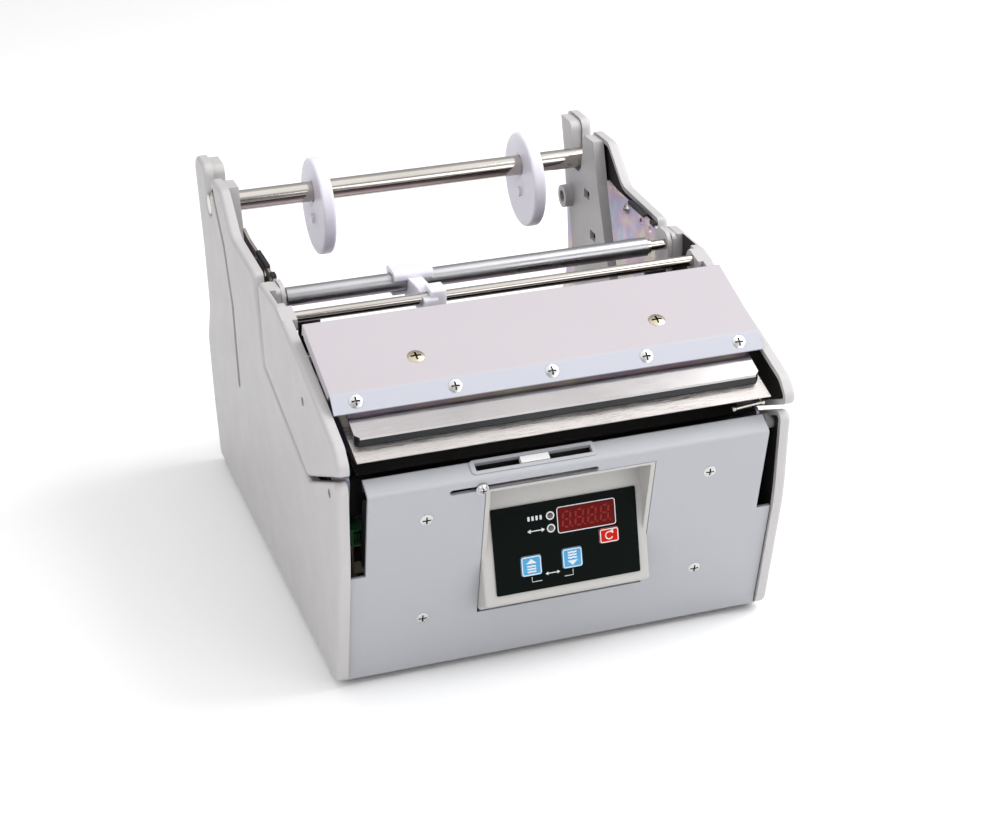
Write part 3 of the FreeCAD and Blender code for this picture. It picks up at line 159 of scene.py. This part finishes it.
def nylon(name, colour):
    mat, tree, shader = new_material(name)
    tone = ramp(tree, noise(tree, 30, 3.0), [(0.3, shade(colour, 0.96)), (0.7, colour)])
    tree.links.new(tone, shader.inputs["Base Color"])
    tree.links.new(spread(tree, noise(tree, 200, 3.0), 0.32, 0.46), shader.inputs["Roughness"])
    tree.links.new(bump(tree, noise(tree, 700, 2.0), 0.00002), shader.inputs["Normal"])
    shader.inputs["Subsurface Weight"].default_value = 0.8
    shader.inputs["Subsurface Radius"].default_value = (1.0, 1.0, 1.0)
    shader.inputs["Subsurface Scale"].default_value = 0.006
    return mat


def printed(name, colour, rough=0.35, painted_glow=0.0, specular=0.5):
    """Ink or film on the keypad; painted_glow gives it a faint emission in its own colour, a painted glow."""
    mat, tree, shader = new_material(name)
    tone = ramp(tree, noise(tree, 500, 2.0), [(0.3, shade(colour, 0.93)), (0.7, shade(colour, 1.05))])
    tree.links.new(tone, shader.inputs["Base Color"])
    gloss = spread(tree, noise(tree, 300, 2.0), rough * 0.85, rough * 1.15)
    tree.links.new(gloss, shader.inputs["Roughness"])
    shader.inputs["Specular IOR Level"].default_value = specular
    if painted_glow > 0:
        shader.inputs["Emission Color"].default_value = (*colour, 1)
        shader.inputs["Emission Strength"].default_value = painted_glow
    return mat


def mix_base(mat, factor, tone, multiply=False):
    """Mixes the base colour with tone, a colour or a socket, by factor, a number or a socket."""
    tree = mat.node_tree
    base = tree.nodes["Principled BSDF"].inputs["Base Color"]
    mix = tree.nodes.new("ShaderNodeMix")
    mix.data_type = "RGBA"
    if multiply:
        mix.blend_type = "MULTIPLY"
    colour_in = [socket for socket in mix.inputs if socket.type == "RGBA"]
    colour_out = [socket for socket in mix.outputs if socket.type == "RGBA"][0]
    tree.links.new(base.links[0].from_socket, colour_in[0])
    if isinstance(factor, float):
        mix.inputs[0].default_value = factor
    else:
        tree.links.new(factor, mix.inputs[0])
    if isinstance(tone, tuple):
        colour_in[1].default_value = (*tone, 1)
    else:
        tree.links.new(tone, colour_in[1])
    tree.links.new(colour_out, base)
    return mat


def is_below(tree, value, limit, blur):
    """1 where value is under the limit, 0 above it, with a soft edge blur wide."""
    step = tree.nodes.new("ShaderNodeMapRange")
    step.inputs["From Min"].default_value = limit + blur / 2
    step.inputs["From Max"].default_value = limit - blur / 2
    tree.links.new(value, step.inputs["Value"])
    return step.outputs["Result"]


def multiplied(tree, first, second):
    node = tree.nodes.new("ShaderNodeMath")
    node.operation = "MULTIPLY"
    tree.links.new(first, node.inputs[0])
    tree.links.new(second, node.inputs[1])
    return node.outputs["Value"]


def component(tree, source, axis):
    """One component of the object coordinates or of the object-space normal."""
    coord = tree.nodes.new("ShaderNodeTexCoord")
    split = tree.nodes.new("ShaderNodeSeparateXYZ")
    tree.links.new(coord.outputs[source], split.inputs["Vector"])
    return split.outputs[axis]


def painted_hollow_shade(mat, reach=0.0022, dark=(0.03, 0.03, 0.03)):
    """Painted shade in the hollows: the base colour darkens where ambient occlusion finds the surface closed
    in.
    """
    tree = mat.node_tree
    closed = tree.nodes.new("ShaderNodeAmbientOcclusion")
    closed.inputs["Distance"].default_value = reach
    closed.samples = 8
    painted_shade = ramp(tree, closed.outputs["AO"], [(0.35, dark), (0.75, (1.0, 1.0, 1.0))])
    return mix_base(mat, 1.0, painted_shade, multiply=True)


def painted_shade_behind(mat, planes, depth, tone):
    """Painted shade: lets the base colour turn dark where a point lies deeper than depth behind every plane.
    """
    tree = mat.node_tree
    place = coordinates(tree)
    behind = []
    for origin, normal in planes:
        height = tree.nodes.new("ShaderNodeVectorMath")
        height.operation = "DOT_PRODUCT"
        tree.links.new(place, height.inputs[0])
        height.inputs[1].default_value = normal
        level = Vector(origin).dot(Vector(normal))
        behind.append(is_below(tree, height.outputs["Value"], level - depth, 0.0004))
    return mix_base(mat, multiplied(tree, *behind), tone)


def shaded_inside(mat, reach, tone):
    """Painted shade: lets the base colour turn dark on faces that look to the middle from further out than
    reach.
    """
    tree = mat.node_tree
    outward = multiplied(tree, component(tree, "Object", "X"), component(tree, "Normal", "X"))
    return mix_base(mat, is_below(tree, outward, -reach - 0.0002, 0.0004), tone)


def tinted_below(mat, axis, low, high, colour):
    """Lets the base colour turn to another one where one coordinate is below a limit."""
    tree = mat.node_tree
    low_side = is_below(tree, component(tree, "Object", axis), (low + high) / 2, high - low)
    return mix_base(mat, low_side, colour)


# The front panel's fold line, and the outward normals of its top face and its front face.
PANEL_FOLD = (0, -0.17146, 0.1304)
PANEL_TOP_OUT = (0, -0.4796, 0.8775)
PANEL_FRONT_OUT = (0, -0.9693, -0.2458)
PANEL_PLANES = [(PANEL_FOLD, PANEL_TOP_OUT), (PANEL_FOLD, PANEL_FRONT_OUT)]
PANEL_SHEET = 0.0021                # just under the panel's thickness
SHELL_INSIDE = 0.1224               # past the rims of the moulded sides, short of their skins
LIP_Y = (-0.1356, -0.1340)          # the cover's fold above its front lip
GREEN_FROM_Z = (0.083, 0.084)       # the upper plug housing is green, the lower one beige
M = {
    # shell_plastic: painted shade in its hollows, and painted shade, near black, on the inner faces of the
    # moulded sides.
    "shell_plastic": shaded_inside(
        painted_hollow_shade(grained("shell_plastic", (0.480, 0.467, 0.470), 0.46, 1100, 0.00005, 0.02),
                 0.004, (0.30, 0.29, 0.28)), SHELL_INSIDE, (0.02, 0.02, 0.018)),
    "cradle_plastic": grained("cradle_plastic", (0.47, 0.46, 0.455), 0.5, 1100, 0.00005, 0.03),
    "zinc_plate": zinc_passivated("zinc_plate"),
    "black_rubber": grained("black_rubber", (0.016, 0.016, 0.018), 0.6, 700, 0.00005, 0.15, specular=0.3),
    # panel_paint: painted shade, near black, on the panel's faces behind its outer sheet.
    "panel_paint": painted_shade_behind(grained("panel_paint", (0.39, 0.40, 0.425), 0.44, 1500, 0.00003, 0.02),
                               PANEL_PLANES, PANEL_SHEET, (0.012, 0.012, 0.011)),
    # cover_paint: the front lip below the fold gets a cooler, bluer tone, painted light on its front-facing
    # face.
    "cover_paint": tinted_below(
        grained("cover_paint", (0.455, 0.425, 0.45), 0.55, 1500, 0.00003, 0.02, specular=0.35),
        "Y", *LIP_Y, (0.45, 0.46, 0.515)),
    "black_paint": grained("black_paint", (0.010, 0.010, 0.009), 0.5, 1200, 0.00003, 0.2, specular=0.3),
    "black_plastic": grained("black_plastic", (0.020, 0.020, 0.022), 0.45, 900, 0.00004, 0.15),
    "box_plastic": grained("box_plastic", (0.47, 0.46, 0.445), 0.5, 1300, 0.00005, 0.02),
    "white_plastic": grained("white_plastic", (0.72, 0.72, 0.73), 0.4, 900, 0.00002, 0.02),
    "white_nylon": nylon("white_nylon", (0.74, 0.725, 0.80)),
    "connector_beige": tinted_below(
        grained("connector_beige", (0.035, 0.20, 0.08), 0.45, 900, 0.00002, 0.05),
        "Z", *GREEN_FROM_Z, (0.42, 0.36, 0.24)),
    "board_green": grained("board_green", (0.02, 0.12, 0.05), 0.35, 500, 0.00003, 0.2),
    "overlay_black": grained("overlay_black", (0.0022, 0.0042, 0.0036), 0.5, 1600, 0.00001, 0.15,
                             specular=0.05),
    # window_red, key_red, key_blue and segment_red carry a faint painted glow.
    "window_red": printed("window_red", (0.10, 0.002, 0.0015), 0.30, 0.05, 0.1),
    "lens_clear": printed("lens_clear", (0.12, 0.085, 0.075), 0.15),
    "key_red": printed("key_red", (0.48, 0.010, 0.002), 0.42, 0.04, 0.10),
    "key_blue": printed("key_blue", (0.065, 0.31, 0.56), 0.42, 0.02, 0.25),
    "bright_steel": machined("bright_steel", (0.52, 0.49, 0.455), 0.09, (6, 1, 1), 60, 0.000001),
    "satin_aluminium": machined("satin_aluminium", (0.41, 0.41, 0.425), 0.30, (1, 1, 1), 25, 0.0, 0.03),
    "polished_steel": machined("polished_steel", (0.47, 0.45, 0.45), 0.20, (1, 12, 12), 90, 0.000004),
    "peel_steel": machined("peel_steel", (0.66, 0.62, 0.60), 0.32, (1, 25, 25), 80, 0.000006),
    "dark_acrylic": machined("dark_acrylic", (0.018, 0.022, 0.026), 0.16, (1, 30, 30), 60, 0.00001, 0.2, 0.0),
    "roller_rubber": grained("roller_rubber", (0.030, 0.030, 0.030), 0.55, 900, 0.00004, 0.15),
    "green_belt": grained("green_belt", (0.035, 0.26, 0.11), 0.5, 700, 0.00004, 0.15),
    "motor_case": machined("motor_case", (0.10, 0.10, 0.11), 0.35, (30, 1, 1), 60, 0.000006, 0.1, 0.6),
    # The screws get painted shade in their cross recesses.
    "screw_steel": painted_hollow_shade(machined("screw_steel", (0.56, 0.56, 0.56), 0.30, (1, 1, 1), 900, 0.000006)),
    "screw_brass": painted_hollow_shade(machined("screw_brass", (0.50, 0.44, 0.33), 0.30, (1, 1, 1), 900, 0.000006)),
    "ink_white": printed("ink_white", (0.66, 0.68, 0.69), 0.4),
    "segment_red": printed("segment_red", (0.20, 0.010, 0.007), 0.30, 0.10, 0.2),
}

for part in frame["record"]["subparts"]:
    mesh = nodes[part["node"]].data
    mesh.materials.clear()
    mesh.materials.append(M[part["material_slot"]])


# ---- keypad artwork ----------------------------------------------------------
LEAN = math.radians(79)              # of the keypad's face, up from the horizontal
FACE_AT = Vector((0, -157.82 + math.tan(math.radians(11)) * (77.25 - 76.6), 77.25)) * MM
FILM = 0.03                          # thickness of the printed film, in millimetres
FACE_ACROSS = Vector((1, 0, 0))
FACE_UP = Vector((0, math.cos(LEAN), math.sin(LEAN)))
FACE_OUT = Vector((0, -math.sin(LEAN), math.cos(LEAN)))


def on_face(u, v, w):
    return FACE_AT + (FACE_ACROSS * u + FACE_UP * v + FACE_OUT * w) * MM


def rounded_loop(u, v, width, height, radius, steps=5):
    """Corners of a rounded rectangle about (u, v)."""
    loop = []
    for i, (su, sv) in enumerate(((1, 1), (-1, 1), (-1, -1), (1, -1))):
        cu, cv = u + su * (width / 2 - radius), v + sv * (height / 2 - radius)
        for k in range(steps + 1):
            a = math.radians(90 * i + 90 * k / steps)
            loop.append((cu + radius * math.cos(a), cv + radius * math.sin(a)))
    return loop


def artwork(name, shapes, level, material, body):
    """Thin printed film: each shape is a loop, or a pair of loops that bound a ring."""
    film = bmesh.new()
    for shape in shapes:
        rings = shape if isinstance(shape[0], list) else [shape]
        verts = [[film.verts.new(on_face(u, v, level)) for u, v in ring] for ring in rings]
        if len(rings) == 1:
            film.faces.new(verts[0])
        else:
            count = len(verts[0])
            for i in range(count):
                j = (i + 1) % count
                film.faces.new((verts[0][i], verts[0][j], verts[1][j], verts[1][i]))
    top = film.faces[:]
    made = bmesh.ops.extrude_face_region(film, geom=top)
    moved = [g for g in made["geom"] if isinstance(g, bmesh.types.BMVert)]
    bmesh.ops.translate(film, verts=moved, vec=FACE_OUT * FILM * MM)
    bmesh.ops.recalc_face_normals(film, faces=film.faces[:])
    mesh = bpy.data.meshes.new(name)
    film.to_mesh(mesh)
    film.free()
    piece = bpy.data.objects.new(name, mesh)
    bpy.context.scene.collection.objects.link(piece)
    mesh.materials.append(material)
    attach(piece, body)
    return piece


def band(points, width):
    """A stroke of even width along a run of points, as one loop."""
    left, right = [], []
    for i, (u, v) in enumerate(points):
        before = points[max(i - 1, 0)]
        after = points[min(i + 1, len(points) - 1)]
        du, dv = after[0] - before[0], after[1] - before[1]
        span = math.hypot(du, dv)
        nu, nv = -dv / span * width / 2, du / span * width / 2
        left.append((u + nu, v + nv))
        right.append((u - nu, v - nv))
    return left + right[::-1]


def ring_pair(u, v, width, height, radius, line):
    return [rounded_loop(u, v, width, height, radius),
            rounded_loop(u, v, width - 2 * line, height - 2 * line, max(radius - line, 0.05))]


def key_marks(u, v, up):
    """Arrow head and wavy stripes of a feed key."""
    s = 1 if up else -1
    arrow = [(u - 3.0, v + s * 1.3), (u, v + s * 4.0), (u + 3.0, v + s * 1.3)]
    marks = [arrow if up else arrow[::-1]]
    for row in range(3):
        base = v - s * (0.2 + 1.55 * row)
        wave = [(u - 2.5 + 0.5 * i, base + 0.16 * math.sin(i * 1.3 + row)) for i in range(11)]
        marks.append(band(wave, 0.85))
    return marks


WINDOW = (12.4, 12.5, 32.6, 14.0)
LEDS = [(-8.1, 16.0), (-8.1, 8.9)]
KEYS = {"key_reset": (24.45, -0.6, 11.1, 8.2), "key_up": (-20.95, -10.1, 11.5, 11.1),
        "key_down": (2.55, -9.6, 11.3, 11.1)}

for key, (u, v, width, height) in KEYS.items():
    outline = [ring_pair(u, v, width - 0.5, height - 0.5, 1.2, 0.55)]
    if key != "key_reset":
        outline += key_marks(u, v, key == "key_up")
    else:
        angles = [math.radians(a) for a in range(60, 331, 18)]
        turn = [(u + 2.1 * math.cos(a), v + 2.1 * math.sin(a)) for a in angles]
        outline.append(band(turn, 0.62))
        outline.append([(u + 0.1, v + 2.1), (u + 2.5, v + 0.9), (u + 2.2, v + 3.3)])
    artwork(key + "_print", outline, 1.5, M["ink_white"], key)

marks = [ring_pair(u, v, 4.8, 4.8, 2.39, 0.75) for u, v in LEDS]
marks.append(ring_pair(WINDOW[0], WINDOW[1], WINDOW[2] + 1.0, WINDOW[3] + 1.0, 1.6, 0.5))
u, v = KEYS["key_up"][:2]
marks.append(band([(u, v - 6.6), (u, v - 9.4), (u + 5.6, v - 9.4)], 0.34))
u, v = KEYS["key_down"][:2]
marks.append(band([(u, v - 6.6), (u, v - 9.8), (u - 5.0, v - 9.8)], 0.34))
for i in range(4):
    marks.append(rounded_loop(-20.4 + 2.3 * i, 16.0, 1.25, 2.5, 0.2, 2))
marks.append(band([(-20.0, 8.9), (-13.2, 8.9)], 0.55))
marks += [[(-21.6, 8.9), (-19.7, 7.7), (-19.7, 10.1)], [(-11.6, 8.9), (-13.5, 10.1), (-13.5, 7.7)]]
marks.append(band([(-12.0, -16.2), (-6.0, -16.2)], 0.5))
marks += [[(-13.2, -16.2), (-11.6, -17.2), (-11.6, -15.2)],
          [(-4.8, -16.2), (-6.4, -15.2), (-6.4, -17.2)]]
artwork("keypad_print", marks, 0.8, M["ink_white"], "base")


def digit(u, v, w, h):
    """Seven segments and a point of one display digit, leaning a little."""
    t = 1.15
    lean = 0.09

    def place(a, b):
        return u + a + lean * b, v + b

    bars = []
    tip, shoulder = w / 2 - t * 0.7, w / 2 - t * 1.1
    for b in (h / 2, 0, -h / 2):
        bars.append([place(-tip, b), place(-shoulder, b + t / 2), place(shoulder, b + t / 2),
                     place(tip, b), place(shoulder, b - t / 2), place(-shoulder, b - t / 2)])
    for a in (-w / 2, w / 2):
        for low, high in ((0.35, h / 2 - 0.35), (-h / 2 + 0.35, -0.35)):
            foot, neck = low + t * 0.4, high - t * 0.4
            bars.append([place(a, low), place(a + t / 2, foot), place(a + t / 2, neck),
                         place(a, high), place(a - t / 2, neck), place(a - t / 2, foot)])
    bars.append(rounded_loop(*place(w / 2 + 1.35, -h / 2 - 0.1), 1.0, 1.0, 0.49, 3))
    return bars


segments = []
for i in range(4):
    segments += digit(WINDOW[0] - 11.4 + 7.3 * i, WINDOW[1], 4.2, 8.6)
artwork("display_segments", segments, 0.9, M["segment_red"], "base")


# ---- stage -------------------------------------------------------------------
floor_mesh = bpy.data.meshes.new("floor")
floor_mesh.from_pydata([(-6, -6, 0), (6, -6, 0), (6, 6, 0), (-6, 6, 0)], [], [(0, 1, 2, 3)])
floor = bpy.data.objects.new("floor", floor_mesh)
bpy.context.scene.collection.objects.link(floor)
paper = grained("floor_paper", (0.93, 0.93, 0.93), 0.9, 200, 0.00002, 0.004, specular=0.1)
floor_mesh.materials.append(paper)

world = bpy.data.worlds.new("studio")
bpy.context.scene.world = world
world.use_nodes = True
sky = world.node_tree
background = sky.nodes["Background"]
direction = sky.nodes.new("ShaderNodeTexCoord")
split = sky.nodes.new("ShaderNodeSeparateXYZ")
height = sky.nodes.new("ShaderNodeValToRGB")
sky.links.new(direction.outputs["Generated"], split.inputs["Vector"])
lift = sky.nodes.new("ShaderNodeMapRange")
lift.inputs["From Min"].default_value = -1.0
sky.links.new(split.outputs["Z"], lift.inputs["Value"])
sky.links.new(lift.outputs["Result"], height.inputs["Fac"])
band_stops = [(0.0, 0.95), (0.50, 0.95), (0.56, 0.30), (0.66, 0.22), (0.78, 0.75), (1.0, 1.0)]
while len(height.color_ramp.elements) < len(band_stops):
    height.color_ramp.elements.new(0.5)
for element, (position, grey) in zip(height.color_ramp.elements, band_stops):
    element.position = position
    element.color = (grey, grey, grey * 1.01, 1)
sky.links.new(height.outputs["Color"], background.inputs["Color"])
background.inputs["Strength"].default_value = 0.85


LIGHT_TARGET = Vector((0, 0, 0.1))


def area_light(name, place, width, depth, power):
    """A rectangular lamp that looks at the middle of the object."""
    lamp = bpy.data.lights.new(name, "AREA")
    lamp.shape = "RECTANGLE"
    lamp.size, lamp.size_y = width, depth
    lamp.energy = power
    obj = bpy.data.objects.new(name, lamp)
    obj.location = place
    obj.rotation_euler = (LIGHT_TARGET - Vector(place)).to_track_quat("-Z", "Y").to_euler()
    bpy.context.scene.collection.objects.link(obj)


area_light("key_light", (1.25, -0.15, 1.45), 1.4, 1.4, 27)
area_light("fill_light", (-1.7, -1.0, 1.2), 2.0, 1.4, 14)
area_light("top_light", (0.0, -0.3, 2.2), 2.4, 2.4, 12)
area_light("front_light", (1.2, -1.9, 1.0), 1.6, 1.0, 12)

# ---- camera ------------------------------------------------------------------
CAMERA_ANGLES = (17.929, 25.264, -1.196)         # azimuth, elevation and roll in degrees
CAMERA_PLACE = (-358.65, -1155.29, 656.62)       # millimetres
azimuth, elevation, roll = (math.radians(a) for a in CAMERA_ANGLES)
back = Vector((-math.sin(azimuth) * math.cos(elevation), -math.cos(azimuth) * math.cos(elevation),
               math.sin(elevation)))
level = Vector((0, 0, 1)).cross(back).normalized()
upright = back.cross(level)
right = level * math.cos(roll) + upright * math.sin(roll)
up = upright * math.cos(roll) - level * math.sin(roll)
lens = bpy.data.cameras.new("camera")
lens.sensor_width = 36.0
lens.lens = 80.28
lens.clip_start, lens.clip_end = 0.05, 50
camera = bpy.data.objects.new("camera", lens)
bpy.context.scene.collection.objects.link(camera)
turn = Matrix((right, up, back)).transposed().to_4x4()
camera.matrix_world = Matrix.Translation(Vector(CAMERA_PLACE) * MM) @ turn
bpy.context.scene.camera = camera
bpy.context.scene.view_settings.view_transform = "Standard"
